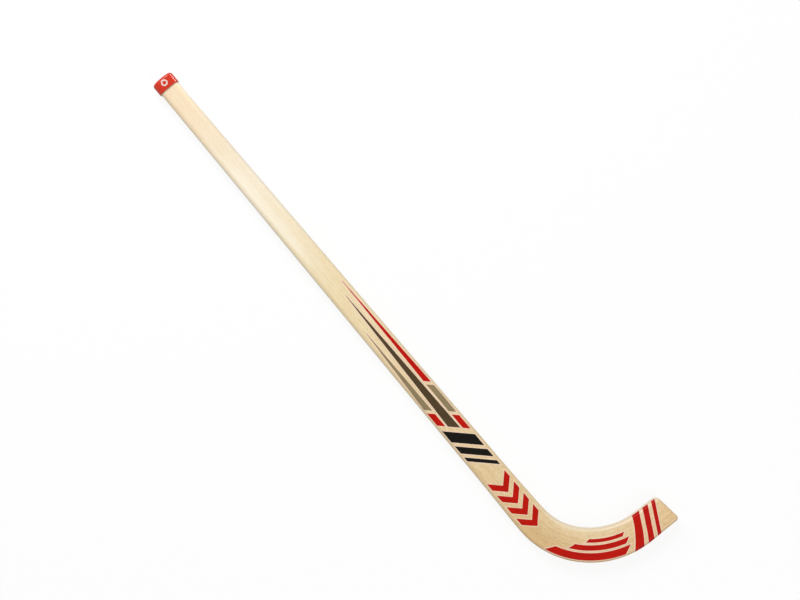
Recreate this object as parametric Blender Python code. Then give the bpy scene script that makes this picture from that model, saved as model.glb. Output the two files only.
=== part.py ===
"""Roller hockey stick: a bent, laminated wooden stick with a push-on end cap.

The stick lies on its flat side. +X runs from the butt to the blade, +Y is the hook
side of the blade and +Z is up. The origin is on the floor, under the middle of its box.
Lengths are in metres.
"""

import math

import bmesh
import bpy

MM = 0.001

# Centre line of the wood, from the sawn butt inside the cap to the toe
SHAFT_RUN = 765.5 * MM
LEAD_RADIUS = 1240.0 * MM
LEAD_TURN = math.radians(1.2)
HEEL_RADIUS = 103.5 * MM
HEEL_TURN = math.radians(41.7)
BLADE_RADIUS = 118.5 * MM
BLADE_TURN = math.radians(45.3)
TOE_RUN = 43.8 * MM

# Widths of the wood in the plane of the bend
BUTT_WIDTH = 28.1 * MM
THROAT_WIDTH = 40.5 * MM
BLADE_WIDTH = 47.2 * MM
TOE_WIDTH = 42.6 * MM
FLARE_RUN = 106.5 * MM
WIDEST_INTO_BEND = 101.0 * MM
THICKNESS = 20.5 * MM

# Routed edges and the sawn toe
GRIP_ROUND = 7.0 * MM
BLADE_ROUND = 4.8 * MM
BUTT_CHAMFER = 1.0 * MM
TOE_SKEW = math.radians(8.0)
TOE_INNER_CORNER = 7.0 * MM
TOE_OUTER_CORNER = 5.0 * MM

# Lamination, in the plane of the bend
LAMELLA_COUNT = 9
GLUE_LINE = 0.2 * MM

# Push-on end cap
CAP_CLEARANCE = 0.3 * MM
CAP_WALL = 1.6 * MM
CAP_DEPTH = 15.7 * MM
CAP_CROWN = 1.3 * MM
CAP_DOME = 2.0 * MM
CAP_SHOULDER = 4.0 * MM
CAP_INNER_FILLET = 1.5 * MM
CAP_LIP_EASE = 0.6 * MM

# Facets
SHAFT_STEPS = 8
FLARE_STEPS = 6
FACET_TURN = math.radians(3.0)
TOE_STEPS = 4
ROUND_STEPS = 5
EDGE_LINES = 7
SECOND_LINES = 4
CORNER_STEPS = 8
FILLET_STEPS = 3
SHOULDER_STEPS = 6
DOME_SCALES = (0.8, 0.55, 0.25)
SMOOTH_ANGLE = math.radians(32.0)

# Finishes: colour, roughness
PALE_WOOD = ((0.86, 0.75, 0.55), 0.38)
TAN_WOOD = ((0.80, 0.66, 0.45), 0.38)
RED_PLASTIC = ((0.63, 0.055, 0.03), 0.22)

# Stretches of the centre line: length and curvature
CENTRE_LINE = (
    (SHAFT_RUN, 0.0),
    (LEAD_RADIUS * LEAD_TURN, 1.0 / LEAD_RADIUS),
    (HEEL_RADIUS * HEEL_TURN, 1.0 / HEEL_RADIUS),
    (BLADE_RADIUS * BLADE_TURN, 1.0 / BLADE_RADIUS),
)
TOE_START = sum(length for length, curvature in CENTRE_LINE)
THROAT = SHAFT_RUN - FLARE_RUN
WIDEST = SHAFT_RUN + LEAD_RADIUS * LEAD_TURN + WIDEST_INTO_BEND


def remove_everything():
    """Empty the scene that the script starts in."""
    for item in list(bpy.data.objects):
        bpy.data.objects.remove(item, do_unlink=True)


def ease(value, start, end):
    """Smooth step from 0 at start to 1 at end."""
    share = min(max((value - start) / (end - start), 0.0), 1.0)
    return share * share * (3.0 - 2.0 * share)


def centre_at(along):
    """Place and heading of the centre line at a distance from the butt."""
    x = 0.0
    y = 0.0
    heading = 0.0
    left = along
    for length, curvature in CENTRE_LINE:
        run = min(left, length)
        turn = run * curvature
        chord = run if turn == 0.0 else 2.0 * math.sin(turn / 2.0) / curvature
        x += chord * math.cos(heading + turn / 2.0)
        y += chord * math.sin(heading + turn / 2.0)
        heading += turn
        left -= run
    return x + left * math.cos(heading), y + left * math.sin(heading), heading


def half_width(along):
    """Half the width of the wood: a straight taper, a flare into the bend, a drawn-in toe."""
    if along <= THROAT:
        return (BUTT_WIDTH + (THROAT_WIDTH - BUTT_WIDTH) * along / THROAT) / 2.0
    if along <= WIDEST:
        return (THROAT_WIDTH + (BLADE_WIDTH - THROAT_WIDTH) * ease(along, THROAT, WIDEST)) / 2.0
    toe = TOE_START + TOE_RUN
    return (BLADE_WIDTH + (TOE_WIDTH - BLADE_WIDTH) * ease(along, WIDEST, toe)) / 2.0


def edge_radius(along):
    """Radius of the routed edge: generous at the grip, tighter round the blade."""
    return GRIP_ROUND + (BLADE_ROUND - GRIP_ROUND) * ease(along, THROAT, WIDEST)


def toe_corner(across):
    """Side, radius and centre of the toe's rounded corner that is nearer to an offset."""
    side = 1.0 if across >= 0.0 else -1.0
    radius = TOE_INNER_CORNER if side > 0.0 else TOE_OUTER_CORNER
    centre_across = side * (TOE_WIDTH / 2.0 - radius)
    centre_along = TOE_RUN - centre_across * math.tan(TOE_SKEW) - radius / math.cos(TOE_SKEW)
    return side, radius, centre_along, centre_across


def toe_reach(across):
    """How far the wood reaches past the start of the toe run, at an offset across it."""
    side, radius, centre_along, centre_across = toe_corner(across)
    out = (across - centre_across) * side
    if out > radius * math.sin(side * TOE_SKEW):
        return centre_along + math.sqrt(max(radius * radius - out * out, 0.0))
    return TOE_RUN - across * math.tan(TOE_SKEW)


def depth_inside(along, across):
    """Distance from a point of the flat side to the nearest edge of the outline."""
    depth = half_width(along) - abs(across)
    past = along - TOE_START
    if past <= 0.0:
        return depth
    side, radius, centre_along, centre_across = toe_corner(across)
    forward = past - centre_along
    out = (across - centre_across) * side
    if forward > 0.0 and math.atan2(out, forward) >= side * TOE_SKEW and out > 0.0:
        return min(depth, radius - math.hypot(forward, out))
    to_cut = (TOE_RUN - across * math.tan(TOE_SKEW) - past) * math.cos(TOE_SKEW)
    return min(depth, to_cut)


def half_height(along, across):
    """Half the thickness of the wood, less what the router took off its edge."""
    chamfer = max(BUTT_CHAMFER - along, 0.0)
    radius = edge_radius(along) - chamfer
    depth = min(max(depth_inside(along, across) - chamfer, 0.0), radius)
    return THICKNESS / 2.0 - chamfer - radius + math.sqrt(depth * (2.0 * radius - depth))


def spaced(start, end, steps):
    """Evenly spaced values after start, up to and with end."""
    return [start + (end - start) * step / steps for step in range(1, steps + 1)]


def stations_to_toe():
    """Distances from the butt at which every strip has a cross-section, up to the toe run."""
    stations = [0.0, BUTT_CHAMFER]
    stations += spaced(BUTT_CHAMFER, THROAT, SHAFT_STEPS)
    stations += spaced(THROAT, SHAFT_RUN, FLARE_STEPS)
    for length, curvature in CENTRE_LINE[1:]:
        start = stations[-1]
        steps = max(1, math.ceil(length * curvature / FACET_TURN))
        stations += spaced(start, start + length, steps)
    return stations


def toe_stations(across_at_toe):
    """The same along one line of the toe run, ending on the toe's own outline."""
    reach = toe_reach(across_at_toe)
    stations = spaced(0.0, reach - BLADE_ROUND, TOE_STEPS)
    for step in range(1, ROUND_STEPS + 1):
        angle = math.pi / 2.0 * (1.0 - step / ROUND_STEPS)
        stations.append(reach - BLADE_ROUND * (1.0 - math.cos(angle)))
    return [TOE_START + station for station in stations]


def strip_line(index, share, half, chamfer=0.0):
    """Offset across the wood of one line of one strip, which is glued to its neighbours."""
    pitch = 2.0 * half / LAMELLA_COUNT
    low = -half + pitch * index
    high = low + pitch
    low += GLUE_LINE / 2.0 if index > 0 else chamfer
    high -= GLUE_LINE / 2.0 if index < LAMELLA_COUNT - 1 else chamfer
    return low + (high - low) * share


def line_shares(index):
    """Where a strip's lines lie across it: close together where the routed edge curves."""
    from_edge = min(index, LAMELLA_COUNT - 1 - index)
    if from_edge == 0:
        turns = [step / (EDGE_LINES - 1) for step in range(EDGE_LINES)]
        shares = [1.0 - math.cos(turn * math.pi / 2.0) for turn in turns]
    elif from_edge == 1:
        shares = [step / (SECOND_LINES - 1) for step in range(SECOND_LINES)]
    else:
        shares = [0.0, 1.0]
    if index > LAMELLA_COUNT / 2.0:
        shares = [1.0 - share for share in reversed(shares)]
    return shares


def surface_line(index, share):
    """Points of one line along a strip's upper side, from the butt to the toe."""
    at_toe = strip_line(index, share, TOE_WIDTH / 2.0)
    points = []
    for along in stations_to_toe() + toe_stations(at_toe):
        chamfer = max(BUTT_CHAMFER - along, 0.0)
        across = strip_line(index, share, half_width(along), chamfer)
        x, y, heading = centre_at(along)
        place = (x - across * math.sin(heading), y + across * math.cos(heading))
        points.append((place[0], place[1], half_height(along, across)))
    return points


def join_rings(bm, rings):
    """Skin a run of closed rings of points, and give the rings of vertices back."""
    loops = [[bm.verts.new(point) for point in ring] for ring in rings]
    for near, far in zip(loops, loops[1:]):
        for place in range(len(near)):
            following = (place + 1) % len(near)
            bm.faces.new((near[place], near[following], far[following], far[place]))
    return loops


def wood_strip(index):
    """Mesh of one strip: its upper lines, the same lines below, and the ends between them."""
    lines = [surface_line(index, share) for share in line_shares(index)]
    rings = []
    for upper in zip(*lines):
        lower = [(x, y, -z) for x, y, z in reversed(upper)]
        rings.append(list(upper) + lower)
    bm = bmesh.new()
    loops = join_rings(bm, rings)
    last = len(loops[0]) - 1
    for loop in (loops[0], loops[-1]):
        for place in range(len(lines) - 1):
            bm.faces.new((loop[place], loop[place + 1], loop[last - place - 1], loop[last - place]))
    return bm


def rounded_ring(x, half_y, half_z, radius):
    """Points of a rounded rectangle across the shaft."""
    points = []
    for corner in range(4):
        side_y = 1.0 if corner in (0, 3) else -1.0
        side_z = 1.0 if corner in (0, 1) else -1.0
        for step in range(CORNER_STEPS + 1):
            angle = (corner + step / CORNER_STEPS) * math.pi / 2.0
            y = side_y * (half_y - radius) + radius * math.cos(angle)
            z = side_z * (half_z - radius) + radius * math.sin(angle)
            points.append((x, y, z))
    return points


def cap_half_sizes():
    """Half width, half height and corner radius of the socket, clear of the wood inside it."""
    lip = CAP_DEPTH - CAP_CLEARANCE
    half_y = half_width(lip) + CAP_CLEARANCE
    half_z = THICKNESS / 2.0 + CAP_CLEARANCE
    return half_y, half_z, GRIP_ROUND + CAP_CLEARANCE


def end_cap():
    """Mesh of the cap about its mouth: the socket, the lip, the skirt and the domed end."""
    half_y, half_z, radius = cap_half_sizes()

    def ring(x, grow):
        return rounded_ring(x, half_y + grow, half_z + grow, radius + grow)

    rings = []
    for step in range(FILLET_STEPS + 1):
        angle = math.pi / 2.0 * step / FILLET_STEPS
        x = -CAP_DEPTH + CAP_INNER_FILLET * (1.0 - math.cos(angle))
        rings.append(ring(x, -CAP_INNER_FILLET * (1.0 - math.sin(angle))))
    rings.append(ring(-CAP_LIP_EASE, 0.0))
    rings.append(ring(0.0, CAP_LIP_EASE))
    rings.append(ring(0.0, CAP_WALL - CAP_LIP_EASE))
    rings.append(ring(-CAP_LIP_EASE, CAP_WALL))
    crown = -CAP_DEPTH - CAP_CROWN
    for step in range(SHOULDER_STEPS + 1):
        angle = math.pi / 2.0 * step / SHOULDER_STEPS
        rings.append(ring(crown + CAP_SHOULDER * (1.0 - math.sin(angle)),
                          CAP_WALL - CAP_SHOULDER * (1.0 - math.cos(angle))))
    grow = CAP_WALL - CAP_SHOULDER
    for scale in DOME_SCALES:
        x = crown - CAP_DOME * (1.0 - scale * scale)
        rings.append(rounded_ring(x, (half_y + grow) * scale, (half_z + grow) * scale,
                                  (radius + grow) * scale))
    bm = bmesh.new()
    loops = join_rings(bm, rings)
    bm.faces.new(loops[0])
    bm.faces.new(loops[-1])
    return bm


def finish_material(name, finish):
    """Material of one piece."""
    colour, roughness = finish
    material = bpy.data.materials.new(name)
    material.use_nodes = True
    shader = material.node_tree.nodes["Principled BSDF"]
    shader.inputs["Base Color"].default_value = (*colour, 1.0)
    shader.inputs["Roughness"].default_value = roughness
    shader.inputs["Metallic"].default_value = 0.0
    return material


def add_piece(name, bm, finish, parent):
    """Object of one piece, with its faces out, smooth over its curves, on its parent."""
    bmesh.ops.recalc_face_normals(bm, faces=bm.faces)
    mesh = bpy.data.meshes.new(name)
    bm.to_mesh(mesh)
    bm.free()
    mesh.shade_smooth()
    mesh.set_sharp_from_angle(angle=SMOOTH_ANGLE)
    mesh.materials.append(finish_material(name, finish))
    piece = bpy.data.objects.new(name, mesh)
    bpy.context.scene.collection.objects.link(piece)
    piece.parent = parent
    return piece


def add_empty(name, location, parent=None):
    """Empty that places pieces, or marks a joint."""
    empty = bpy.data.objects.new(name, None)
    bpy.context.scene.collection.objects.link(empty)
    empty.location = location
    empty.parent = parent
    return empty


def place_on_floor(stick, pieces, cap_mouth):
    """Move the whole stick so that the origin is on the floor under the middle of its box."""
    corners = []
    for piece in pieces:
        shift = cap_mouth if piece.parent != stick else (0.0, 0.0, 0.0)
        for vertex in piece.data.vertices:
            corners.append(tuple(vertex.co[axis] + shift[axis] for axis in range(3)))
    low = [min(corner[axis] for corner in corners) for axis in range(3)]
    high = [max(corner[axis] for corner in corners) for axis in range(3)]
    stick.location = (-(low[0] + high[0]) / 2.0, -(low[1] + high[1]) / 2.0, -low[2])


def main():
    """Build the stick."""
    remove_everything()
    stick = add_empty("stick", (0.0, 0.0, 0.0))
    pieces = []
    for index in range(LAMELLA_COUNT):
        finish = PALE_WOOD if index % 2 == 0 else TAN_WOOD
        pieces.append(add_piece(f"lamella_{index + 1}", wood_strip(index), finish, stick))
    cap_mouth = (CAP_DEPTH - CAP_CLEARANCE, 0.0, 0.0)
    cap_slide = add_empty("cap_slide", cap_mouth, stick)
    pieces.append(add_piece("end_cap", end_cap(), RED_PLASTIC, cap_slide))
    place_on_floor(stick, pieces, cap_mouth)


main()
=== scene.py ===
"""Roller hockey stick: the looks of a bent, laminated wooden stick with a push-on end cap.

Every piece is modelled in the stick's own frame: it lies on its flat side, the middle of the
sawn butt is the origin, +X runs along the shaft, +Y is the hook side of the blade and +Z is
up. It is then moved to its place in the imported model. Lengths are in metres.
"""

import math
from collections import namedtuple
from functools import partial

import bmesh
import bpy
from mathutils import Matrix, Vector


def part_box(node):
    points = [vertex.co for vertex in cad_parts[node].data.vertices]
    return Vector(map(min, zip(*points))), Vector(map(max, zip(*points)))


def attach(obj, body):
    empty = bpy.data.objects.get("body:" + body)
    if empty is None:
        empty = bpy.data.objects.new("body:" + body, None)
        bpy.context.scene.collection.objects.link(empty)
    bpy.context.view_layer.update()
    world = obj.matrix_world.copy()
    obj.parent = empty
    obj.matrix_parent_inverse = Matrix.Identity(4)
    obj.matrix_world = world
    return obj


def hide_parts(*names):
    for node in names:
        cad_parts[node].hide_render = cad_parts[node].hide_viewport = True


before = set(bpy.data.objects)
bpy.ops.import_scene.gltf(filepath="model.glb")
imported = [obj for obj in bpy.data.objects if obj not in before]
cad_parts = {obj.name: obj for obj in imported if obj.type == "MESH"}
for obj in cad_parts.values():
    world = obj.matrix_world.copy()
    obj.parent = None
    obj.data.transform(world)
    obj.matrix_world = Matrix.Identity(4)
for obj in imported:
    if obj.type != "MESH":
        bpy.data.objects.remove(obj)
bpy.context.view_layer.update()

bl_info = {
    "name": "Roller hockey stick",
    "version": (1, 0, 0),
    "blender": (4, 5, 0),
    "location": "3D View > Sidebar > Hockey stick",
    "description": "Models and finishes a laminated stick on its packed frame",
    "category": "Object",
}

MM = 0.001
STICK_BODY = "stick"
CAP_BODY = "cap"

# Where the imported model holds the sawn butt, the centre line and the middle of the thickness
MIDDLE_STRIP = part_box("lamella_5")
CAP_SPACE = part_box("end_cap")
BUTT_PLACE = Vector((
    MIDDLE_STRIP[0].x,
    (CAP_SPACE[0].y + CAP_SPACE[1].y) / 2.0,
    (CAP_SPACE[0].z + CAP_SPACE[1].z) / 2.0,
))
WOOD_THICKNESS = MIDDLE_STRIP[1].z - MIDDLE_STRIP[0].z

# Fineness of the meshes
SHAFT_STEPS = 40
FLARE_STEPS = 16
FACET_TURN = math.radians(1.0)
LEAST_STEPS = 4
TOE_STEPS = 14
ROUND_STEPS = 12
STRIP_LINES = (14, 9, 6, 3)
PRINT_LINES = 56
PRINT_STEP = 2.0 * MM
SMOOTH_ANGLE = math.radians(32.0)
WELD = 0.001 * MM
NEAR = 0.01 * MM
SHOULDER_STEPS = 10
DOME_STEPS = 14
CORNER_SEGMENTS = 16
LIP_SEGMENTS = 4
MARK_SEGMENTS = 5
# How far the dome's rings draw in before its pole closes them, as a share of a quarter turn
DOME_SHARE = 0.94
# How squarely the faces of the block's two ends look along the stick
END_FACING = 0.9
# How far beside a rounding a ring of edges lies, so that the skirt between shades straight
HOLD = 0.2 * MM
# How far a sheet of print starts outside its shape, for each width of its keyline
KEYLINE_REACH = 4.0
# Half the width of the fine tip of a wedge
HALF_TIP = 0.2 * MM
# How far apart in the pattern two neighbouring strips are, so that their grain differs
STRIP_SHIFT = 61.0 * MM


def linear(code):
    """Linear colour of an sRGB colour written as six hex digits."""
    channels = [int(code[place:place + 2], 16) / 255.0 for place in (0, 2, 4)]
    light = [c / 12.92 if c <= 0.04045 else ((c + 0.055) / 1.055) ** 2.4 for c in channels]
    return (*light, 1.0)


def length(name, description, millimetres):
    """Property that holds a length."""
    return bpy.props.FloatProperty(
        name=name, description=description, default=millimetres * MM, min=0.0,
        precision=5, subtype="DISTANCE", unit="LENGTH")


def angle(name, description, degrees):
    """Property that holds an angle."""
    return bpy.props.FloatProperty(
        name=name, description=description, default=math.radians(degrees),
        subtype="ANGLE", unit="ROTATION")


def colour(name, description, code):
    """Property that holds a colour."""
    return bpy.props.FloatVectorProperty(
        name=name, description=description, default=linear(code), size=4,
        min=0.0, max=1.0, subtype="COLOR")


def number(name, description, value):
    """Property that holds a plain number."""
    return bpy.props.FloatProperty(
        name=name, description=description, default=value, min=0.0, precision=4)


class WoodSizes(bpy.types.PropertyGroup):
    """Sizes of the laminated wood."""

    shaft_run: length("Shaft", "Straight run from the butt", 765.5)
    lead_radius: length("Lead-in radius", "Slight curve before the heel", 1240.0)
    lead_turn: angle("Lead-in turn", "How far the slight curve turns", 1.2)
    heel_radius: length("Heel radius", "Tighter part of the bend", 103.5)
    heel_turn: angle("Heel turn", "How far the heel turns", 41.7)
    blade_radius: length("Blade radius", "Wider part of the bend", 118.5)
    blade_turn: angle("Blade turn", "How far the blade turns", 45.3)
    toe_run: length("Toe", "Straight run to the sawn toe", 43.8)
    butt_width: length("Butt width", "Width at the sawn butt", 28.1)
    throat_width: length("Throat width", "Width where the flare starts", 40.5)
    blade_width: length("Blade width", "Width at the widest place", 47.2)
    toe_width: length("Toe width", "Width at the toe", 42.6)
    flare_run: length("Flare", "How far before the first curve it starts", 106.5)
    widest_into_bend: length("Widest place", "How far past the lead-in it is", 101.0)
    thickness: length("Thickness", "Between the two flat sides", WOOD_THICKNESS / MM)
    grip_round: length("Grip edge", "Radius of the routed edge there", 7.0)
    blade_round: length("Blade edge", "Radius of the routed edge there", 4.8)
    butt_chamfer: length("Butt chamfer", "Chamfer of the sawn butt", 1.0)
    toe_skew: angle("Toe skew", "How far the toe is out of square", 8.0)
    toe_inner_corner: length("Inner toe corner", "Rounding at the hook side", 7.0)
    toe_outer_corner: length("Outer toe corner", "Rounding at the outer edge", 5.0)
    strip_count: bpy.props.IntProperty(
        name="Strips", description="Strips glued side by side", default=9, min=1)
    glue_gap: length("Glue line", "Left open between two strips", 0.02)
    glue_groove: length("Glue groove", "Chamfer beside a glue line", 0.03)


class CapSizes(bpy.types.PropertyGroup):
    """Sizes of the moulded end cap."""

    clearance: length("Clearance", "Between the cap and the wood", 0.3)
    wall: length("Wall", "Thickness of the skirt", 1.6)
    depth: length("Depth", "Depth of the socket", 15.7)
    crown: length("Crown", "Of the closed end, at its rim", 1.3)
    dome: length("Dome", "How far the closed end bulges", 2.0)
    shoulder: length("Shoulder", "Between the skirt and the dome", 4.0)
    inner_fillet: length("Inner fillet", "At the bottom of the socket", 1.5)
    lip_ease: length("Lip", "Its rounding, inside and out", 0.6)
    mark_place: length("Mark place", "Its middle, past the butt", 6.4)
    mark_size: length("Mark size", "Printed ring, from corner to corner", 10.4)
    mark_line: length("Mark line", "Width of the printed ring", 2.3)
    mark_corner: length("Mark corner", "Cut off each side to round a corner", 1.3)


class PrintSizes(bpy.types.PropertyGroup):
    """Sizes of the print on both flat sides."""

    film: length("Film", "Thickness of one layer of ink", 0.03)
    overprint: length("Overprint", "How much higher each next shape lies", 0.002)
    bite: length("Bite", "How far a film reaches down", 0.02)
    keyline: length("Keyline", "Width of the pale line round a shape", 1.3)
    lean: number("Lean", "How far a cut end leans, for its width", 1.0)
    chevron_count: bpy.props.IntProperty(
        name="Chevrons", description="Chevrons above the heel", default=4, min=1)
    chevron_start: length("First chevron", "Its distance from the sawn butt", 729.0)
    chevron_pitch: length("Chevron pitch", "From one chevron to the next", 20.5)
    chevron_run: length("Chevron length", "Length of one arm along the stick", 11.5)
    chevron_half: length("Chevron half width", "From centre line to arm's end", 15.5)


class Colours(bpy.types.PropertyGroup):
    """Colours of the finishes."""

    butt_wood: colour("Wood at the butt", "Beside the cap", "F8E4C5")
    grip_wood: colour("Wood of the grip", "Where it is held", "FEF4DF")
    shaft_wood: colour("Wood of the shaft", "Half way down", "FAEAC4")
    throat_wood: colour("Wood of the throat", "Above the bend", "F4DCB1")
    heel_wood: colour("Wood of the heel", "In the tighter part of the bend", "F5E1B8")
    toe_wood: colour("Wood of the toe", "Past the bend", "FAE2B9")
    # Painted sheen: this paler colour stands in for the lacquer's highlight on the grip and on
    # the hook edge of the bend
    sap_wood: colour("Sapwood", "Beside the grip and the bend", "FFF5DE")
    steam_tint: colour("Steam tint", "Laid over the steamed wood", "F0E2D0")
    drift_tint: colour("Drift tint", "Laid over the wood in long soft patches", "FFFAF3")
    grain_tint: colour("Grain tint", "Laid over fibres, pores and glue lines", "E2D7C0")
    cap_tint: colour("Cap tint", "Laid over the plastic in soft clouds", "F1F1F1")
    ink_tint: colour("Ink tint", "Laid over the ink where it is mottled", "E5E5E5")
    cap_plastic: colour("Cap", "Moulded plastic", "D42B05")
    mark_ink: colour("Cap mark", "Ink of the ring on the cap", "F4DFD2")
    red_ink: colour("Red ink", "Bands, chevrons and blade stripes", "C71506")
    brown_ink: colour("Brown ink", "Middle band", "54432C")
    khaki_ink: colour("Khaki ink", "Outer band", "988662")
    black_ink: colour("Black ink", "Slashes at the throat", "0B0A05")
    cream_ink: colour("Cream ink", "Keylines", "FFE2C4")


class StageSizes(bpy.types.PropertyGroup):
    """Floor, lamps and camera."""

    floor_size: length("Floor", "Side of the square floor", 9000.0)
    butt_power: number("Butt power", "Watts of the softbox past the butt", 71.0)
    toe_power: number("Toe power", "Watts of the softbox past the toe", 16.0)
    strip_power: number("Strip power", "Watts of the small lamp by the cap", 0.0095)
    outer_power: number("Outer power", "Watts of the low softbox at the side", 1.2)
    room_light: number("Room light", "Strength of the light from all round", 0.36)
    floor_glow: number("Floor glow", "Share of the floor that shows as white", 0.88)
    floor_bounce: number("Floor bounce", "Share of light thrown back", 0.5)
    camera_height: length("Camera height", "Above the middle of the wood", 2400.0)
    camera_x: length("Camera along", "From the sawn butt", 442.8)
    camera_y: length("Camera across", "From the centre line", 55.7)
    camera_turn: angle("Camera turn", "Turn about the line of sight", 49.96)
    camera_lens: number("Lens", "Focal length in mm on a 36 mm sensor", 78.3)


class StickSettings(bpy.types.PropertyGroup):
    """All settings of the stick."""

    wood: bpy.props.PointerProperty(type=WoodSizes)
    cap: bpy.props.PointerProperty(type=CapSizes)
    prints: bpy.props.PointerProperty(type=PrintSizes)
    colours: bpy.props.PointerProperty(type=Colours)
    stage: bpy.props.PointerProperty(type=StageSizes)


def metres(*sizes):
    """Sizes written in millimetres, in metres."""
    return [size * MM for size in sizes]


def between(start, end, share):
    """Value that lies so far from start to end."""
    return start + (end - start) * share


def ease(value, start, end):
    """Smooth step from 0 at start to 1 at end."""
    share = min(max((value - start) / (end - start), 0.0), 1.0)
    return share * share * (3.0 - 2.0 * share)


def spaced(start, end, steps):
    """Evenly spaced values after start, up to and with end."""
    return [start + (end - start) * step / steps for step in range(1, steps + 1)]


class WoodForm:
    """The bent wood: where a point of the straight blank, so far along and across, ends up."""

    def __init__(self, sizes):
        for name in WoodSizes.__annotations__:
            setattr(self, name, getattr(sizes, name))
        self.centre_line = (
            (self.shaft_run, 0.0),
            (self.lead_radius * self.lead_turn, 1.0 / self.lead_radius),
            (self.heel_radius * self.heel_turn, 1.0 / self.heel_radius),
            (self.blade_radius * self.blade_turn, 1.0 / self.blade_radius),
        )
        self.toe_start = sum(run for run, curvature in self.centre_line)
        self.end = self.toe_start + self.toe_run
        self.throat = self.shaft_run - self.flare_run
        self.widest = self.shaft_run + self.centre_line[1][0] + self.widest_into_bend

    def centre_at(self, along):
        """Place and heading of the centre line at a distance from the butt."""
        x = y = heading = 0.0
        left = along
        for run, curvature in self.centre_line:
            part = min(left, run)
            turn = part * curvature
            chord = part if turn == 0.0 else 2.0 * math.sin(turn / 2.0) / curvature
            x += chord * math.cos(heading + turn / 2.0)
            y += chord * math.sin(heading + turn / 2.0)
            heading += turn
            left -= part
        return x + left * math.cos(heading), y + left * math.sin(heading), heading

    def half_width(self, along):
        """Half the width: a straight taper, a flare into the bend, a drawn-in toe."""
        if along <= self.throat:
            width = between(self.butt_width, self.throat_width, along / self.throat)
        elif along <= self.widest:
            share = ease(along, self.throat, self.widest)
            width = between(self.throat_width, self.blade_width, share)
        else:
            share = ease(along, self.widest, self.end)
            width = between(self.blade_width, self.toe_width, share)
        return width / 2.0

    def edge_radius(self, along):
        """Radius of the routed edge: generous at the grip, tighter round the blade."""
        share = ease(along, self.throat, self.widest)
        return between(self.grip_round, self.blade_round, share)

    def toe_corner(self, across):
        """Side, radius and centre of the toe's corner that is nearer to an offset."""
        side = 1.0 if across >= 0.0 else -1.0
        radius = self.toe_inner_corner if side > 0.0 else self.toe_outer_corner
        centre_across = side * (self.toe_width / 2.0 - radius)
        centre_along = (self.toe_run - centre_across * math.tan(self.toe_skew)
                        - radius / math.cos(self.toe_skew))
        return side, radius, centre_along, centre_across

    def toe_reach(self, across):
        """How far the wood reaches past the start of the toe run, at an offset across it."""
        side, radius, centre_along, centre_across = self.toe_corner(across)
        out = (across - centre_across) * side
        if out > radius * math.sin(side * self.toe_skew):
            return centre_along + math.sqrt(max(radius * radius - out * out, 0.0))
        return self.toe_run - across * math.tan(self.toe_skew)

    def depth_inside(self, along, across):
        """Distance from a point of the flat side to the nearest edge of the outline."""
        depth = self.half_width(along) - abs(across)
        past = along - self.toe_start
        if past <= 0.0:
            return depth
        side, radius, centre_along, centre_across = self.toe_corner(across)
        forward = past - centre_along
        out = (across - centre_across) * side
        if forward > 0.0 and out > 0.0 and math.atan2(out, forward) >= side * self.toe_skew:
            return min(depth, radius - math.hypot(forward, out))
        to_cut = self.toe_run - across * math.tan(self.toe_skew) - past
        return min(depth, to_cut * math.cos(self.toe_skew))

    def chamfer_at(self, along):
        """How far the sawn butt's chamfer cuts in, all round."""
        return max(self.butt_chamfer - along, 0.0)

    def half_height(self, along, across):
        """Half the thickness, less what the router took off the edge."""
        chamfer = self.chamfer_at(along)
        radius = self.edge_radius(along) - chamfer
        depth = min(max(self.depth_inside(along, across) - chamfer, 0.0), radius)
        return (self.thickness / 2.0 - chamfer - radius
                + math.sqrt(depth * (2.0 * radius - depth)))

    def outward(self, along, across):
        """Direction out of the wood there: along, across and up."""
        depth = self.depth_inside(along, across)
        tilt = min(max(1.0 - depth / self.edge_radius(along), 0.0), 1.0)
        fall_along = self.depth_inside(along - NEAR, across) - depth
        fall_across = self.depth_inside(along, across - NEAR) - depth
        steepest = math.hypot(fall_along, fall_across) or 1.0
        return (tilt * fall_along / steepest, tilt * fall_across / steepest,
                math.sqrt(1.0 - tilt * tilt))

    def top_point(self, along, across, lift=0.0):
        """Point of the upper side, or so far above it."""
        x, y, heading = self.centre_at(along)
        cosine = math.cos(heading)
        sine = math.sin(heading)
        place = Vector((
            x - across * sine, y + across * cosine, self.half_height(along, across)))
        if lift != 0.0:
            forward, sideways, up = self.outward(along, across)
            place.x += lift * (forward * cosine - sideways * sine)
            place.y += lift * (forward * sine + sideways * cosine)
            place.z += lift * up
        return place

    def stations_to_toe(self):
        """Distances from the butt of the vertices along the wood, up to the toe run."""
        stations = [0.0, self.butt_chamfer]
        stations += spaced(self.butt_chamfer, self.throat, SHAFT_STEPS)
        stations += spaced(self.throat, self.shaft_run, FLARE_STEPS)
        for run, curvature in self.centre_line[1:]:
            steps = max(LEAST_STEPS, math.ceil(run * curvature / FACET_TURN))
            stations += spaced(stations[-1], stations[-1] + run, steps)
        return stations

    def stations_to_end(self, start, across_at_toe):
        """The same in the toe run along one line: close together where the end is routed."""
        end = self.toe_start + self.toe_reach(across_at_toe)
        stations = spaced(start, end - self.blade_round, TOE_STEPS)
        for step in range(1, ROUND_STEPS + 1):
            turn = math.pi / 2.0 * (1.0 - step / ROUND_STEPS)
            stations.append(end - self.blade_round * (1.0 - math.cos(turn)))
        return stations

    def strip_sides(self, index, half, chamfer=0.0):
        """Offsets of the two sides of one strip, where the wood is twice half wide."""
        pitch = 2.0 * half / self.strip_count
        low = -half + pitch * index
        high = low + pitch
        low += self.glue_gap / 2.0 if index > 0 else chamfer
        high -= self.glue_gap / 2.0 if index < self.strip_count - 1 else chamfer
        return low, high

    def glue_distance(self, index, along, across):
        """Distance from a point of one strip to its nearer glued side."""
        low, high = self.strip_sides(index, self.half_width(along))
        to_low = across - low if index > 0 else high - low
        to_high = high - across if index < self.strip_count - 1 else high - low
        return min(to_low, to_high)

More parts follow.
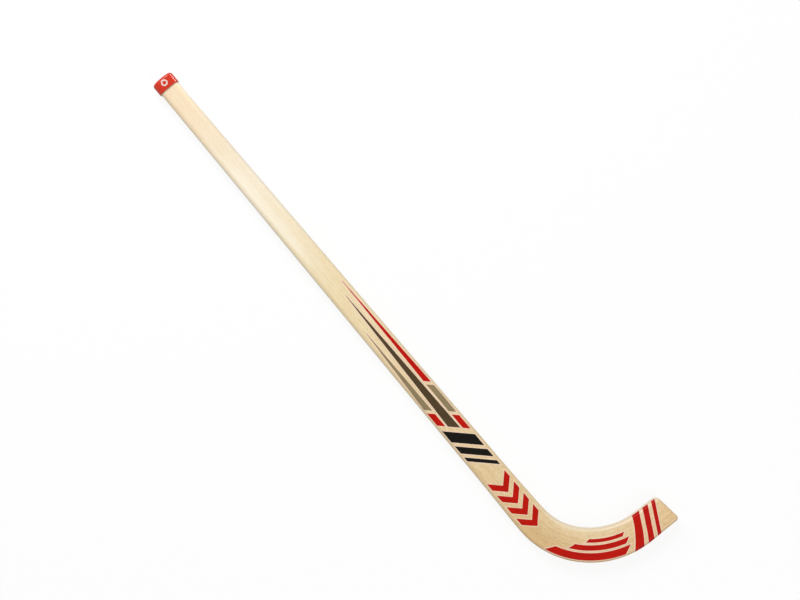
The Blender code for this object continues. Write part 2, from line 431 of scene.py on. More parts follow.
    def strip_lines(self, index):
        """Lines along one strip, as a share of its width and an inset for its grooves."""
        from_edge = min(index, self.strip_count - 1 - index)
        steps = STRIP_LINES[min(from_edge, len(STRIP_LINES) - 1)]
        shares = [step / steps for step in range(steps + 1)]
        if from_edge == 0:
            shares = [1.0 - math.cos(share * math.pi / 2.0) for share in shares]
        if index > self.strip_count / 2.0:
            shares = [1.0 - share for share in reversed(shares)]
        lines = [(share, 0.0) for share in shares]
        if index > 0:
            lines.insert(1, (0.0, self.glue_groove))
        if index < self.strip_count - 1:
            lines.insert(-1, (1.0, -self.glue_groove))
        return lines


def add_object(name, add, **settings):
    """Add a primitive, lamp or camera under a name of its own, selected alone."""
    bpy.ops.object.select_all(action="DESELECT")
    add(**settings)
    added = bpy.context.object
    added.name = name
    added.data.name = name
    return added


def select_alone(piece):
    """Make one object the only selected one, and the active one."""
    bpy.ops.object.select_all(action="DESELECT")
    piece.select_set(True)
    bpy.context.view_layer.objects.active = piece


def start_editing(piece, mode, selected="DESELECT"):
    """Edit mode on one object, with nothing or all of it selected."""
    select_alone(piece)
    bpy.ops.object.mode_set(mode="EDIT")
    bpy.ops.mesh.select_mode(type=mode)
    bpy.ops.mesh.select_all(action=selected)


def stop_editing():
    """Back to object mode."""
    bpy.ops.object.mode_set(mode="OBJECT")


def select_parts(piece, parts, wanted):
    """In edit mode, select the faces or the edges that pass a test."""
    mesh = bmesh.from_edit_mesh(piece.data)
    for part in getattr(mesh, parts):
        part.select_set(wanted(part))
    mesh.select_flush_mode()
    bmesh.update_edit_mesh(piece.data)


def bevel_edges(piece, radius, segments, wanted):
    """In edit mode, round the edges whose two ends pass a test."""
    select_parts(piece, "edges", lambda edge: wanted(*[end.co.x for end in edge.verts]))
    bpy.ops.mesh.bevel(offset=radius, segments=segments, affect="EDGES", clamp_overlap=False)


def cut_all(point, facing, **settings):
    """In edit mode, cut the whole mesh by a plane."""
    bpy.ops.mesh.select_all(action="SELECT")
    bpy.ops.mesh.bisect(plane_co=point, plane_no=facing, **settings)


def apply_modifier(piece, kind, **settings):
    """Add a modifier, set it and apply it."""
    select_alone(piece)
    modifier = piece.modifiers.new(kind.title(), kind)
    for name, value in settings.items():
        setattr(modifier, name, value)
    bpy.ops.object.modifier_apply(modifier=modifier.name)


def mirror_below(piece):
    """Repeat what is above the middle of the thickness below it."""
    apply_modifier(piece, "MIRROR", use_axis=(False, False, True), merge_threshold=WELD)


def make_sheet(name, rows):
    """Flat grid with one row of vertices for each row of (along, across) points."""
    sheet = add_object(
        name, bpy.ops.mesh.primitive_grid_add,
        x_subdivisions=len(rows[0]) - 1, y_subdivisions=len(rows) - 1, size=2.0)
    points = [point for row in rows for point in row]
    for vertex, point in zip(sheet.data.vertices, points):
        vertex.co = (*point, 0.0)
    return sheet


def write_grain(piece, shift=0.0):
    """Keep each vertex's place in the straight blank, which the grain follows."""
    grain = piece.data.attributes.new("grain", "FLOAT_VECTOR", "POINT")
    for vertex, value in zip(piece.data.vertices, grain.data):
        value.vector = vertex.co + Vector((0.0, shift, 0.0))


def finish_grain(piece):
    """Give the grain its third direction, through the thickness."""
    grain = piece.data.attributes["grain"]
    for vertex, value in zip(piece.data.vertices, grain.data):
        value.vector.z = vertex.co.z


def put_in_place(piece, body, material):
    """Shade a piece, give it its finish, move it to its place and let it ride on a body."""
    select_alone(piece)
    bpy.ops.object.shade_smooth_by_angle(angle=SMOOTH_ANGLE)
    piece.data.materials.append(material)
    piece.location = BUTT_PLACE
    bpy.ops.object.transform_apply()
    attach(piece, body)


def make_strip(form, index):
    """One strip of wood: a sheet laid on the upper side, walls down to the middle, mirrored."""
    stations = form.stations_to_toe()
    rows = []
    for share, inset in form.strip_lines(index):
        sides = form.strip_sides(index, form.toe_width / 2.0)
        at_toe = between(*sides, share) + inset
        row = []
        for along in stations + form.stations_to_end(stations[-1], at_toe):
            sides = form.strip_sides(index, form.half_width(along), form.chamfer_at(along))
            row.append((along, between(*sides, share) + inset))
        rows.append(row)
    strip = make_sheet(f"wood_strip_{index + 1}", rows)
    write_grain(strip, shift=index * STRIP_SHIFT)
    blank = strip.data.attributes.new("blank", "FLOAT_VECTOR", "POINT")
    for vertex, value in zip(strip.data.vertices, blank.data):
        along, across, height = vertex.co
        glue = form.glue_distance(index, along, across)
        value.vector = (along / form.end, across / form.half_width(along), glue)
        vertex.co = form.top_point(along, across, -max(form.glue_groove - glue, 0.0))
    start_editing(strip, "EDGE", "SELECT")
    bpy.ops.mesh.region_to_loop()
    bpy.ops.mesh.extrude_region_move()
    bpy.ops.transform.resize(value=(1.0, 1.0, 0.0), center_override=(0.0, 0.0, 0.0))
    stop_editing()
    mirror_below(strip)
    start_editing(strip, "FACE", "SELECT")
    bpy.ops.mesh.normals_make_consistent()
    stop_editing()
    finish_grain(strip)
    write_end_grain(strip, form)
    return strip


def write_end_grain(strip, form):
    """Keep how squarely each place of a strip shows the ends of the fibres."""
    grain = strip.data.attributes["grain"].data
    ends = strip.data.attributes.new("end_grain", "FLOAT", "POINT").data
    for vertex, place, value in zip(strip.data.vertices, grain, ends):
        heading = form.centre_at(place.vector.x)[2]
        forward = Vector((math.cos(heading), math.sin(heading), 0.0))
        value.value = abs(vertex.normal.dot(forward))


# A printed shape: its ink, its corners as (along, across) in turn, and how it folds
# back along the stick for its distance from the centre line
Shape = namedtuple("Shape", "ink corners fold")


def bar(ink, start, run, low, high, lean, fold=0.0):
    """Strip of print between two offsets, whose two ends lean the same way."""
    corners = (
        (start + lean * low, low),
        (start + run + lean * low, low),
        (start + run + lean * high, high),
        (start + lean * high, high),
    )
    return Shape(ink, corners, fold)


def wedge(ink, tip_along, tip_across, end, low, high, lean):
    """Long band that grows from a fine tip to a leaning end."""
    corners = (
        (tip_along, tip_across - HALF_TIP),
        (end + lean * low, low),
        (end + lean * high, high),
        (tip_along, tip_across + HALF_TIP),
    )
    return Shape(ink, corners, 0.0)


def outer_lines(corners, grow):
    """For each side of a convex shape, a point on it moved out, and its outward direction."""
    lines = []
    for near, far in zip(corners, corners[1:] + corners[:1]):
        out = Vector((far[1] - near[1], near[0] - far[0])).normalized()
        lines.append((Vector(near) + out * grow, out))
    return lines


def print_rows(form, start, end):
    """Rows of a sheet over the whole upper side between two distances from the butt."""
    rows = []
    for line in range(PRINT_LINES + 1):
        share = math.sin((line / PRINT_LINES - 0.5) * math.pi)
        across_at_toe = share * form.toe_width / 2.0
        limit = form.toe_start + form.toe_reach(across_at_toe)
        if end < form.toe_start + form.toe_run / 2.0:
            stations = spaced(start, end, math.ceil((end - start) / PRINT_STEP))
        else:
            stations = form.stations_to_end(start, across_at_toe)
        rows.append([(min(along, limit), share * form.half_width(along))
                     for along in [start] + stations])
    return rows


def make_film(form, name, shape, grow, lift, thickness):
    """One printed shape: a sheet cut along the shape's sides, laid on the wood, thickened."""
    folds = [shape.fold * abs(across) for along, across in shape.corners]
    reach = [along for along, across in shape.corners]
    start = max(min(reach) - max(folds) - KEYLINE_REACH * grow - PRINT_STEP, 0.0)
    end = max(reach) + KEYLINE_REACH * grow + PRINT_STEP
    film = make_sheet(name, print_rows(form, start, end))
    write_grain(film)
    start_editing(film, "FACE")
    if shape.fold:
        cut_all((0.0, 0.0, 0.0), (0.0, 1.0, 0.0))
        move_folded(film, shape.fold)
    for point, out in outer_lines(shape.corners, grow):
        cut_all((*point, 0.0), (*out, 0.0), clear_outer=True, threshold=WELD)
    if shape.fold:
        move_folded(film, -shape.fold)
    stop_editing()
    if not film.data.polygons:
        raise RuntimeError(f"{name}: a printed shape lies off the wood")
    for vertex in film.data.vertices:
        vertex.co = form.top_point(vertex.co.x, vertex.co.y, lift)
    apply_modifier(film, "SOLIDIFY", thickness=thickness, offset=-1.0)
    return film


def move_folded(film, fold):
    """In edit mode, move each vertex along the stick for its distance from the centre line."""
    mesh = bmesh.from_edit_mesh(film.data)
    for vertex in mesh.verts:
        vertex.co.x += fold * abs(vertex.co.y)
    bmesh.update_edit_mesh(film.data)


def join(films):
    """Join films of the same ink to one piece, which keeps the first one's name."""
    select_alone(films[0])
    for film in films[1:]:
        film.select_set(True)
    if len(films) > 1:
        bpy.ops.object.join()
    return films[0]


def print_shapes(settings, zone, shapes):
    """Print shapes on both flat sides: pale keylines first, then each ink over them."""
    form = WoodForm(settings.wood)
    sizes = settings.prints
    layers = {"cream": []}
    for order, shape in enumerate(shapes):
        lift = sizes.film + order * sizes.overprint
        layers["cream"].append(make_film(
            form, f"{zone}_cream", shape, sizes.keyline, lift, lift + sizes.bite))
        lift += sizes.film + len(shapes) * sizes.overprint
        layers.setdefault(shape.ink, []).append(make_film(
            form, f"{zone}_{shape.ink}", shape, 0.0, lift, sizes.film + sizes.bite))
    for ink, films in layers.items():
        piece = join(films)
        mirror_below(piece)
        finish_grain(piece)
        put_in_place(piece, STICK_BODY, ink_material(settings, ink))


class STICK_OT_wood_strips(bpy.types.Operator):
    """Model the strips of wood that are bent and glued side by side"""

    bl_idname = "stick.wood_strips"
    bl_label = "Wood strips"

    def execute(self, context):
        settings = context.scene.stick
        form = WoodForm(settings.wood)
        materials = {
            "pale_ash": wood_material("pale_ash_lacquered", settings, warmth=0.0),
            "tan_ash": wood_material("tan_ash_lacquered", settings, warmth=0.35),
        }
        for index in range(form.strip_count):
            slot = "pale_ash" if index % 2 == 0 else "tan_ash"
            strip = make_strip(form, index)
            put_in_place(strip, STICK_BODY, materials[slot])
            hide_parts(f"lamella_{index + 1}")
        return {"FINISHED"}


class STICK_OT_end_cap(bpy.types.Operator):
    """Model the moulded cap: a bevelled block, domed at one end and hollowed from the other"""

    bl_idname = "stick.end_cap"
    bl_label = "End cap"

    def execute(self, context):
        settings = context.scene.stick
        sizes = settings.cap
        form = WoodForm(settings.wood)
        mouth = sizes.depth - sizes.clearance
        rim = sizes.shoulder - sizes.clearance - sizes.crown
        around = sizes.clearance + sizes.wall
        half_y = form.half_width(mouth) + around
        half_z = form.thickness / 2.0 + around
        cap = add_object(
            "moulded_cap", bpy.ops.mesh.primitive_cube_add, size=1.0,
            location=((mouth + rim) / 2.0, 0.0, 0.0),
            scale=(mouth - rim, 2.0 * half_y, 2.0 * half_z))
        bpy.ops.object.transform_apply()
        start_editing(cap, "EDGE")
        bevel_edges(cap, form.grip_round + around, CORNER_SEGMENTS,
                    lambda near, far: abs(near - far) > (mouth - rim) / 2.0)
        bpy.ops.mesh.select_mode(type="FACE")
        select_parts(cap, "faces", lambda face: face.normal.x > END_FACING)
        bpy.ops.mesh.inset(thickness=sizes.wall, use_even_offset=True)
        bpy.ops.mesh.extrude_region_move(
            TRANSFORM_OT_translate={"value": (-sizes.depth, 0.0, 0.0)})
        self.close_end(cap, sizes, rim, half_y)
        bpy.ops.mesh.select_mode(type="EDGE")
        for place, radius in (
                (mouth, sizes.lip_ease), (mouth - sizes.depth, sizes.inner_fillet)):
            bevel_edges(cap, radius, LIP_SEGMENTS,
                        lambda *ends: all(abs(end - place) < NEAR for end in ends))
        for place in (rim + HOLD, mouth - sizes.lip_ease - HOLD):
            cut_all((place, 0.0, 0.0), (1.0, 0.0, 0.0))
        stop_editing()
        put_in_place(cap, CAP_BODY, plastic_material(settings))
        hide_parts("end_cap")
        return {"FINISHED"}

    def close_end(self, cap, sizes, rim, half_width):
        """Round the closed end in rings: an arc for the shoulder, and a dome in line with it."""
        select_parts(cap, "faces", lambda face: (
            face.normal.x < -END_FACING and face.calc_center_median().x < rim + WELD))
        turn = math.pi / 2.0 - math.atan(2.0 * sizes.dome / half_width)
        drawn_in = out = 0.0
        for step in range(1, SHOULDER_STEPS + 1):
            angle_now = turn * step / SHOULDER_STEPS
            inward = sizes.shoulder * (1.0 - math.cos(angle_now))
            outward = sizes.shoulder * math.sin(angle_now)
            bpy.ops.mesh.inset(
                thickness=inward - drawn_in, depth=outward - out, use_even_offset=True)
            drawn_in, out = inward, outward
        height = sizes.shoulder + sizes.dome - out
        reached = 1.0
        out = 0.0
        for step in range(1, DOME_STEPS + 1):
            wanted = math.cos(step / DOME_STEPS * math.pi / 2.0 * DOME_SHARE)
            bulge = height * (1.0 - wanted * wanted)
            bpy.ops.mesh.extrude_region_move(
                TRANSFORM_OT_translate={"value": (out - bulge, 0.0, 0.0)})
            scale = wanted / reached
            bpy.ops.transform.resize(
                value=(1.0, scale, scale), center_override=(0.0, 0.0, 0.0))
            reached, out = wanted, bulge
        bpy.ops.mesh.poke(offset=0.0)


class STICK_OT_cap_mark(bpy.types.Operator):
    """Print a plain six-sided ring on both flat sides of the cap"""

    bl_idname = "stick.cap_mark"
    bl_label = "Cap mark"

    def execute(self, context):
        settings = context.scene.stick
        sizes = settings.cap
        film = settings.prints.film
        top = settings.wood.thickness / 2.0 + sizes.clearance + sizes.wall + film
        middle = (sizes.mark_place, 0.0, top)
        mark = add_object(
            "cap_mark", bpy.ops.mesh.primitive_circle_add, vertices=6,
            radius=sizes.mark_size / 2.0, location=middle)
        bpy.ops.object.transform_apply()
        start_editing(mark, "VERT", "SELECT")
        bpy.ops.mesh.bevel(
            offset=sizes.mark_corner, segments=MARK_SEGMENTS, affect="VERTICES")
        bpy.ops.mesh.select_mode(type="EDGE")
        bpy.ops.mesh.select_all(action="SELECT")
        bpy.ops.mesh.extrude_region_move()
        share = 1.0 - 2.0 * sizes.mark_line / sizes.mark_size
        bpy.ops.transform.resize(value=(share, share, 1.0), center_override=middle)
        bpy.ops.mesh.select_all(action="SELECT")
        bpy.ops.mesh.normals_make_consistent()
        stop_editing()
        apply_modifier(mark, "SOLIDIFY", thickness=film + settings.prints.bite, offset=-1.0)
        mirror_below(mark)
        put_in_place(mark, CAP_BODY, ink_material(settings, "mark"))
        return {"FINISHED"}


# Print of the shaft, in millimetres. Wedges: ink, tip along and across, end, low and high
SHAFT_WEDGES = (
    ("khaki", 448.0, -9.2, 596.0, -16.2, -8.2),
    ("brown", 390.0, 2.6, 624.0, -5.8, 6.4),
    ("red", 372.0, 11.8, 540.0, 8.8, 16.2),
)
# Short bars after the wedges: ink, start, run, low and high
SHAFT_BARS = (
    ("red", 602.0, 22.0, -16.2, -8.2),
    ("khaki", 546.0, 48.0, 8.8, 16.2),
    ("red", 600.0, 24.0, 8.8, 16.2),
)
# Slashes at the throat: start and run
SLASHES = ((634.0, 20.0), (661.0, 13.0), (681.0, 7.0))
SLASH_HALF = 16.0
# Stripes that follow the bend, each thinner and shorter: start, run, low and high
BEND_STRIPES = (
    (846.0, 98.0, -20.0, -9.8),
    (859.0, 77.0, -6.4, 1.0),
    (870.0, 54.0, 4.6, 9.6),
)
# Bars across the toe, each thinner: start and run
TOE_BARS = ((946.0, 12.5), (964.5, 9.0), (979.5, 6.0))
TOE_LEAN = 0.5


class STICK_OT_shaft_print(bpy.types.Operator):
    """Print the long bands, the black slashes and the row of chevrons on the shaft"""

    bl_idname = "stick.shaft_print"
    bl_label = "Shaft print"

    def execute(self, context):
        settings = context.scene.stick
        sizes = settings.prints
        bands = [wedge(ink, *metres(*band), sizes.lean) for ink, *band in SHAFT_WEDGES]
        bands += [bar(ink, *metres(*band), sizes.lean) for ink, *band in SHAFT_BARS]
        print_shapes(settings, "shaft_bands", bands)
        print_shapes(settings, "throat_slashes", [
            bar("black", *metres(start, run, -SLASH_HALF, SLASH_HALF), sizes.lean)
            for start, run in SLASHES])
        print_shapes(settings, "chevrons", [
            bar("red", sizes.chevron_start + place * sizes.chevron_pitch, sizes.chevron_run,
                -sizes.chevron_half, sizes.chevron_half, 0.0, sizes.lean)
            for place in range(sizes.chevron_count)])
        return {"FINISHED"}


class STICK_OT_blade_print(bpy.types.Operator):
    """Print the stripes that follow the bend and the bars across the toe"""

    bl_idname = "stick.blade_print"
    bl_label = "Blade print"

    def execute(self, context):
        settings = context.scene.stick
        reach = settings.wood.toe_width
        print_shapes(settings, "bend_stripes", [
            bar("red", *metres(*stripe), settings.prints.lean) for stripe in BEND_STRIPES])
        print_shapes(settings, "toe_bars", [
            bar("red", *metres(*toe_bar), -reach, reach, TOE_LEAN) for toe_bar in TOE_BARS])
        return {"FINISHED"}


# Softboxes, in millimetres and degrees: name, power, place, what it faces, and its length,
# height and spread. The small one has a honeycomb grid: it draws the pale line along the cap
# and hardly reaches past it.
LAMPS = (
    ("butt_softbox", "butt_power",
     (-2300.0, 560.0, 2150.0), (0.0, 0.0, 0.0), (1600.0, 1600.0, 180.0)),
    ("toe_softbox", "toe_power",
     (1900.0, 240.0, 1850.0), (0.0, 0.0, 0.0), (1400.0, 1400.0, 180.0)),
    ("cap_striplight", "strip_power",
     (-500.0, 223.0, 44.0), (-450.0, -54.0, 21.0), (40.0, 70.0, 40.0)),
    ("outer_softbox", "outer_power",
     (0.0, -1750.0, 500.0), (0.0, 0.0, 0.0), (1800.0, 500.0, 180.0)),
)

WHITE = (1.0, 1.0, 1.0, 1.0)


class STICK_OT_stage(bpy.types.Operator):
    """Lay a white floor, light it softly and set up the camera"""

    bl_idname = "stick.stage"
    bl_label = "Stage"

    def execute(self, context):
        sizes = context.scene.stick.stage
        floor = add_object("floor", bpy.ops.mesh.primitive_plane_add, size=sizes.floor_size)
        floor.data.materials.append(floor_material(sizes.floor_glow, sizes.floor_bounce))
        for name, power, place, target, (run, height, spread) in LAMPS:
            place = Vector(place) * MM
            facing = (Vector(target) * MM - place).to_track_quat("-Z", "Y").to_euler()
            lamp = add_object(name, bpy.ops.object.light_add, type="AREA",
                              location=place, rotation=facing)
            lamp.visible_camera = False
            lamp.data.shape = "RECTANGLE"
            lamp.data.size = run * MM
            lamp.data.size_y = height * MM
            lamp.data.spread = math.radians(spread)
            lamp.data.energy = getattr(sizes, power)
        self.light_room(context, sizes)
        self.add_camera(context, sizes)
        context.scene.view_settings.view_transform = "Standard"
        return {"FINISHED"}

    def light_room(self, context, sizes):
        """White all round to the eye, to gloss and to glass, and a plain light to the rest."""
        world = bpy.data.worlds.new("white_studio")
        world.use_nodes = True
        world.node_tree.nodes.clear()
        add = partial(add_node, world.node_tree)
        strength = add("MapRange", {0: seen_directly(add), 3: sizes.room_light, 4: 1.0})
        background = add("Background", {"Color": WHITE, "Strength": strength})
        add("OutputWorld", {"Surface": background})
        context.scene.world = world

    def add_camera(self, context, sizes):
        """Camera straight above the flat side."""
        place = BUTT_PLACE + Vector((sizes.camera_x, sizes.camera_y, sizes.camera_height))
        camera = add_object(
            "camera", bpy.ops.object.camera_add, location=place,
            rotation=(0.0, 0.0, sizes.camera_turn))
        camera.data.lens = sizes.camera_lens
        context.scene.camera = camera


# Sockets go by number where a node's names repeat. MapRange has its value at 0, the range that
# this comes in at 1 and 2, and the one that it goes out in at 3 and 4. Mix has, for colours:
MIX_SHARE = 0
MIX_FIRST = 6
MIX_SECOND = 7
MIX_RESULT = 2


def add_node(tree, kind, inputs=(), stops=(), **settings):
    """Add a node with its settings, its ramp's stops in turn, and its sockets linked or set.

    A node that is given as an input stands for its own result.
    """
    node = tree.nodes.new("ShaderNode" + kind)
    for name, value in settings.items():
        setattr(node, name, value)
    for place, (position, value) in enumerate(stops):
        ramp = node.color_ramp.elements
        inner = 0 < place < len(stops) - 1
        element = ramp.new(position) if inner else ramp[-1 if place else 0]
        element.position = position
        element.color = value
    for name, value in dict(inputs).items():
        if isinstance(value, bpy.types.Node):
            value = value.outputs[MIX_RESULT if value.type == "MIX" else 0]
        if isinstance(value, bpy.types.NodeSocket):
            tree.links.new(value, node.inputs[name])
        else:
            node.inputs[name].default_value = value
    return node


def new_material(name):
    """Empty material, and the function that adds nodes to it."""
    material = bpy.data.materials.new(name)
    material.use_nodes = True
    material.node_tree.nodes.clear()
    return material, partial(add_node, material.node_tree)


def stretched_noise(add, place, run, width, detail=2.0):
    """Noise whose grains are so many mm long along the fibres and so many wide across them."""
    stretch = (1.0 / (run * MM), 1.0 / (width * MM), 1.0 / (width * MM))
    place = add("VectorMath", {0: place, 1: stretch}, operation="MULTIPLY")
    return add("TexNoise", {
        "Vector": place, "Scale": 1.0, "Detail": detail, "Roughness": 0.55})


def seen_directly(add):
    """1 for what the eye sees straight, in a reflection or through glass, and 0 for light."""
    rays = add("LightPath").outputs
    seen = rays["Is Camera Ray"]
    for ray in ("Is Glossy Ray", "Is Transmission Ray"):
        seen = add("Math", {0: seen, 1: rays[ray]}, operation="MAXIMUM")
    return seen


def grey(*stops):
    """Stops of a ramp from their places and levels."""
    return [(place, (level, level, level, 1.0)) for place, level in stops]


# Tone of the wood, by its share of the blank's length
TONES = ((0.04, "butt_wood"), (0.19, "grip_wood"), (0.37, "shaft_wood"), (0.70, "throat_wood"),
         (0.81, "heel_wood"), (0.95, "toe_wood"))
# Noises along the fibres: grains' length and width in mm, detail, and the range that shows.
# Real pores are 0.2 mm wide, and the flecks stand for rows of them that the eye runs together.
FIGURE = {
    "streaks": (90.0, 2.2, 3.0, 0.38, 0.66),
    "fibres": (26.0, 0.35, 2.0, 0.35, 0.70),
    "flecks": (6.0, 0.75, 3.0, 0.54, 0.66),
    "pores": (5.0, 0.2, 1.0, 0.60, 0.70),
}
# Growth lines: how far apart in mm, how much they slope, how far they wander, in lines
RING_PITCH = 2.3
RING_SLOPE = 0.45
RING_WANDER = 5.0


def wood_material(name, settings, warmth):
    """Ash under clear satin lacquer.

    Pale cream wood with fine straight fibres, faint growth lines, short dark flecks and open
    pores. It is browner and livelier in the steamed bend, most of all at its outer side. A paler
    band along the outer side of the grip and along the hook edge of the bend is a painted
    lacquer sheen. Its glue lines are thin and darker, its end grain is brown.
    """
    colours = settings.colours
    material, add = new_material(name)
    grain = add("Attribute", attribute_name="grain").outputs["Vector"]
    blank = add("Attribute", attribute_name="blank").outputs["Vector"]
    ends = add("Attribute", attribute_name="end_grain").outputs["Fac"]
    along, across, glue = add("SeparateXYZ", {0: blank}).outputs
    tone = add("ValToRGB", {0: along}, [(at, getattr(colours, wood)) for at, wood in TONES])

    # The steamed bend, most of all at its outer side, and patches that drift along the fibres
    heel = add("ValToRGB", {0: along}, grey((0.73, 0.0), (0.80, 1.0), (0.85, 1.0), (0.91, 0.45)))
    outer = add("MapRange", {0: across, 1: 0.6, 2: -0.4})
    steamed = add("Math", {0: heel, 1: outer}, operation="MULTIPLY")
    drift = stretched_noise(add, grain, 60.0, 14.0)
    drift = add("MapRange", {0: drift, 1: 0.35, 2: 0.65, 4: 0.8 + warmth})

    # Fibres and growth lines, which are faint at the grip, then pores, glue lines and end grain
    layers = {}
    for layer, (run, width, detail, low, high) in FIGURE.items():
        noise = stretched_noise(add, grain, run, width, detail)
        layers[layer] = add("MapRange", {0: noise, 1: low, 2: high})
    wander = stretched_noise(add, grain, 240.0, 9.0)
    slope = (0.0, 1.0 / (RING_PITCH * MM), RING_SLOPE / (RING_PITCH * MM))
    rings = add("VectorMath", {0: grain, 1: slope}, operation="DOT_PRODUCT").outputs["Value"]
    rings = add("Math", {0: wander, 1: RING_WANDER, 2: rings}, operation="MULTIPLY_ADD")
    rings = add("Math", {0: rings}, operation="FRACT")
    early = add("MapRange", {0: rings, 1: 0.45, 2: 1.0})
    pores = add("Math", {0: layers["pores"], 1: early}, operation="MULTIPLY")
    figure = 0.0
    for layer, amount in (
            (layers["streaks"], 0.46), (layers["fibres"], 0.42), (layers["flecks"], 1.30),
            (early, 0.18)):
        figure = add("Math", {0: layer, 1: amount, 2: figure},
                     operation="MULTIPLY_ADD", use_clamp=True)
    lively = add("MapRange", {0: along, 1: 0.20, 2: 0.75, 3: 0.32, 4: 1.0})
    dark = add("Math", {0: figure, 1: lively}, operation="MULTIPLY")
    seam = add("MapRange", {0: glue, 1: 0.03 * MM, 2: 0.12 * MM, 3: 1.0, 4: 0.0})
    sawn = add("MapRange", {0: ends, 1: 0.35, 2: 0.85})
    for layer, amount in ((pores, 0.50), (seam, 0.35), (sawn, 0.55)):
        dark = add("Math", {0: layer, 1: amount, 2: dark},
                   operation="MULTIPLY_ADD", use_clamp=True)

    # Painted sheen: a paler band along the outer side of the grip, and along the hook edge of
    # the bend, painted into the wood's colour as a lacquer highlight
    grip = add("ValToRGB", {0: along}, grey(
        (0.13, 0.0), (0.17, 1.0), (0.295, 1.0), (0.335, 0.0)))
    grip = add("Math", {0: grip, 1: 0.75}, operation="MULTIPLY")
    side = add("MapRange", {0: across, 1: -1.0, 2: 1.0})
    side = add("ValToRGB", {0: side}, grey((0.16, 0.0), (0.24, 1.0), (0.72, 0.0)))
    bend = add("MapRange", {0: along, 1: 0.76, 2: 0.82, 4: 0.4})
    hook = add("MapRange", {0: across, 1: 0.72, 2: 0.90})
    hook = add("Math", {0: hook, 1: bend}, operation="MULTIPLY")
    painted_sheen = add("Math", {0: grip, 1: side, 2: hook}, operation="MULTIPLY_ADD")

    body = tone
    for share, tint in (
            (steamed, colours.steam_tint), (drift, colours.drift_tint),
            (dark, colours.grain_tint)):
        body = add("Mix", {MIX_SHARE: share, MIX_FIRST: body, MIX_SECOND: tint},
                   data_type="RGBA", blend_type="MULTIPLY")
    # Lay the painted sheen: the paler colour goes where the lacquer's highlight falls
    body = add("Mix", {MIX_SHARE: painted_sheen, MIX_FIRST: body, MIX_SECOND: colours.sap_wood},
               data_type="RGBA")
    relief = add("Math", {0: pores, 1: -0.7, 2: layers["fibres"]}, operation="MULTIPLY_ADD")
    shader = add("BsdfPrincipled", {
        "Base Color": body,
        "Roughness": add("MapRange", {0: layers["streaks"], 3: 0.34, 4: 0.42}),
        "Normal": add("Bump", {"Strength": 0.35, "Distance": 0.03 * MM, "Height": relief}),
        "IOR": 1.5, "Coat Weight": 0.15, "Coat Roughness": 0.22})
    add("OutputMaterial", {"Surface": shader})
    return material


def plastic_material(settings):
    """Injection-moulded glossy ABS.

    Orange-red, with the faint ripple that a polished mould leaves, so that the lamps show as
    soft bands along its rounded edges.
    """
    colours = settings.colours
    material, add = new_material("red_abs_moulded")
    place = add("TexCoord").outputs["Object"]
    ripple = stretched_noise(add, place, 5.0, 5.0)
    cloud = stretched_noise(add, place, 9.0, 9.0)
    body = add("Mix", {
        MIX_SHARE: cloud, MIX_FIRST: colours.cap_plastic, MIX_SECOND: colours.cap_tint},
        data_type="RGBA", blend_type="MULTIPLY")
    shader = add("BsdfPrincipled", {
        "Base Color": body,
        "Roughness": add("MapRange", {0: ripple, 3: 0.07, 4: 0.12}),
        "Normal": add("Bump", {"Strength": 0.04, "Distance": 0.03 * MM, "Height": ripple}),
        "IOR": 1.53, "Specular IOR Level": 0.28})
    add("OutputMaterial", {"Surface": shader})
    return material


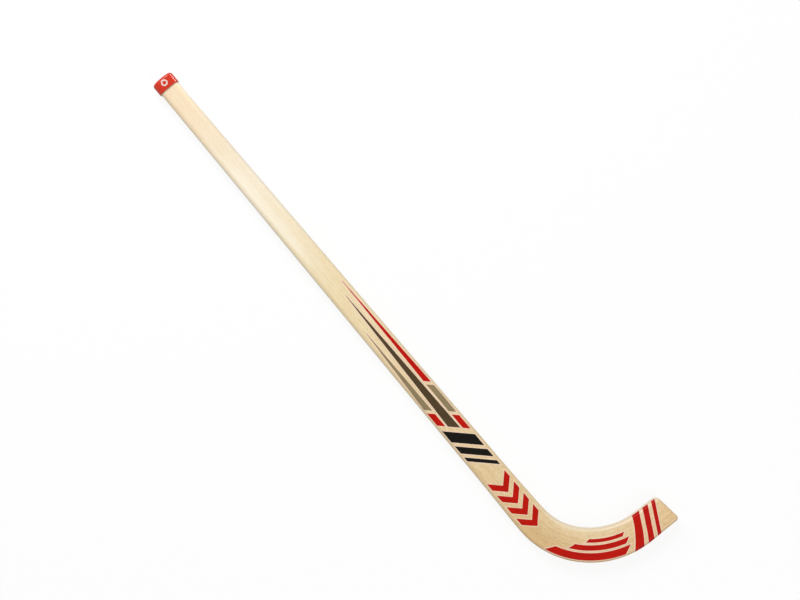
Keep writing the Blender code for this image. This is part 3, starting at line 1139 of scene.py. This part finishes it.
def ink_material(settings, ink):
    """Screen-printed enamel ink.

    Even and opaque, slightly mottled, with the run of the fibres just showing through. It
    lies under the lacquer, so that it has less shine of its own than the wood.
    """
    colours = settings.colours
    name = f"{ink}_enamel_ink"
    if name in bpy.data.materials:
        return bpy.data.materials[name]
    material, add = new_material(name)
    if ink == "mark":
        place = add("TexCoord").outputs["Object"]
    else:
        place = add("Attribute", attribute_name="grain").outputs["Vector"]
    mottle = stretched_noise(add, place, 18.0, 5.0, detail=3.0)
    fibres = stretched_noise(add, place, 30.0, 0.6)
    clouds = add("MapRange", {0: mottle, 1: 0.38, 2: 0.62, 4: 0.6})
    threads = add("MapRange", {0: fibres, 1: 0.35, 2: 0.65, 4: 0.4})
    shade = add("Math", {0: clouds, 1: threads})
    body = add("Mix", {
        MIX_SHARE: shade, MIX_FIRST: getattr(colours, f"{ink}_ink"),
        MIX_SECOND: colours.ink_tint}, data_type="RGBA", blend_type="MULTIPLY")
    shader = add("BsdfPrincipled", {
        "Base Color": body,
        "Roughness": add("MapRange", {0: mottle, 3: 0.34, 4: 0.44}),
        "Normal": add("Bump", {"Strength": 0.25, "Distance": 0.02 * MM, "Height": fibres}),
        "Specular IOR Level": 0.10})
    add("OutputMaterial", {"Surface": shader})
    return material


def floor_material(glow, bounce):
    """Matt white background paper, which shows as white and keeps a soft shadow."""
    material, add = new_material("white_studio_paper")
    seen = seen_directly(add)
    grey_level = add("MapRange", {0: seen, 3: bounce, 4: 1.0})
    paper = add("BsdfDiffuse", {"Color": grey_level})
    white = add("Emission", {"Color": WHITE, "Strength": 1.0})
    share = add("Math", {0: seen, 1: glow}, operation="MULTIPLY")
    add("OutputMaterial", {"Surface": add("MixShader", {0: share, 1: paper, 2: white})})
    return material


class STICK_PT_sidebar(bpy.types.Panel):
    """Steps that build the stick"""

    bl_label = "Roller hockey stick"
    bl_idname = "STICK_PT_sidebar"
    bl_space_type = "VIEW_3D"
    bl_region_type = "UI"
    bl_category = "Hockey stick"

    def draw(self, context):
        for operator in OPERATORS:
            self.layout.operator(operator.bl_idname)


OPERATORS = (
    STICK_OT_wood_strips,
    STICK_OT_end_cap,
    STICK_OT_cap_mark,
    STICK_OT_shaft_print,
    STICK_OT_blade_print,
    STICK_OT_stage,
)
CLASSES = (WoodSizes, CapSizes, PrintSizes, Colours, StageSizes, StickSettings,
           *OPERATORS, STICK_PT_sidebar)


def register():
    """Make the settings, the operators and the panel known to Blender."""
    for cls in CLASSES:
        bpy.utils.register_class(cls)
    bpy.types.Scene.stick = bpy.props.PointerProperty(type=StickSettings)


def unregister():
    """Take them away again."""
    del bpy.types.Scene.stick
    for cls in reversed(CLASSES):
        bpy.utils.unregister_class(cls)


def main():
    """Build the stick and its stage."""
    register()
    bpy.ops.stick.wood_strips()
    bpy.ops.stick.end_cap()
    bpy.ops.stick.cap_mark()
    bpy.ops.stick.shaft_print()
    bpy.ops.stick.blade_print()
    bpy.ops.stick.stage()


if __name__ == "__main__":
    main()
